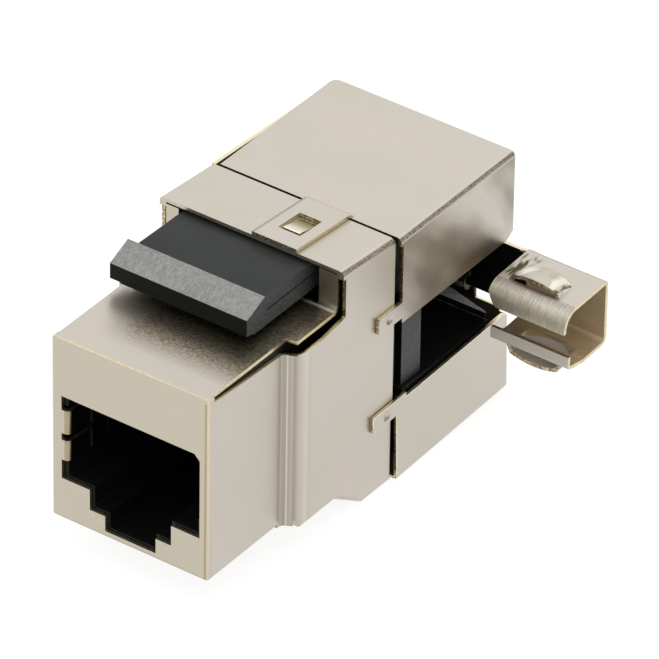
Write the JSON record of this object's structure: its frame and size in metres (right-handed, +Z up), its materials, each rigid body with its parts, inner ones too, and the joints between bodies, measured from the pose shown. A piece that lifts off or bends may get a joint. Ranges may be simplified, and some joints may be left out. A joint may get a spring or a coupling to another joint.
{
  "type": "keystone jack",
  "caption": "Shielded modular keystone jack with a black latch, hinged rear covers over punch-down terminals and a side cable clamp.",
  "frame": {"origin": "middle of the nose's lower edge, in the plane of the front face", "axes": "+X right seen from the front, +Y from the front face to the rear, +Z up"},
  "size_m": [0.0261, 0.0366, 0.0229],
  "materials": {
    "plated_sheet": "satin nickel plating over folded sheet",
    "black_plastic": "matt black moulding",
    "white_plastic": "off-white moulding",
    "board_green": "green solder mask",
    "gold_plated": "gold-plated phosphor bronze",
    "tinned_blade": "tinned bronze"
  },
  "bodies": {
    "body": {"front_shield": "plated_sheet", "cable_clamp": "plated_sheet", "plug_housing": "black_plastic", "contact_carrier": "black_plastic", "circuit_board": "board_green", "wiring_core": "black_plastic", "terminal_block_upper": "white_plastic", "terminal_block_lower": "white_plastic", "idc_blade_1": "tinned_blade", "idc_blade_2": "tinned_blade", "idc_blade_3": "tinned_blade", "idc_blade_4": "tinned_blade", "idc_blade_5": "tinned_blade", "idc_blade_6": "tinned_blade", "idc_blade_7": "tinned_blade", "idc_blade_8": "tinned_blade"},
    "upper_cover_body": {"upper_cover": "plated_sheet"},
    "lower_cover_body": {"lower_cover": "plated_sheet"},
    "latch_body": {"latch": "black_plastic"},
    "contacts_body": {"contact_1": "gold_plated", "contact_2": "gold_plated", "contact_3": "gold_plated", "contact_4": "gold_plated", "contact_5": "gold_plated", "contact_6": "gold_plated", "contact_7": "gold_plated", "contact_8": "gold_plated"}
  },
  "joints": [
    {"name": "upper_cover_hinge", "type": "hinge", "parent": "body", "child": "upper_cover_body", "pos_m": [0.0003, 0.0359, 0.011], "axis": [-1, 0, 0], "range_deg": [0, 100]},
    {"name": "lower_cover_hinge", "type": "hinge", "parent": "body", "child": "lower_cover_body", "pos_m": [0.0003, 0.0359, 0.00655], "axis": [1, 0, 0], "range_deg": [0, 100]},
    {"name": "latch_press", "type": "hinge", "parent": "body", "child": "latch_body", "pos_m": [-0.00055, 0.0192, 0.0186], "axis": [1, 0, 0], "range_deg": [0, 2.5], "stiffness_Nm_per_rad": 1},
    {"name": "contact_flex", "type": "hinge", "parent": "body", "child": "contacts_body", "pos_m": [0, 0.0172, 0.0122], "axis": [-1, 0, 0], "range_deg": [0, 7], "stiffness_Nm_per_rad": 0.6}
  ]
}
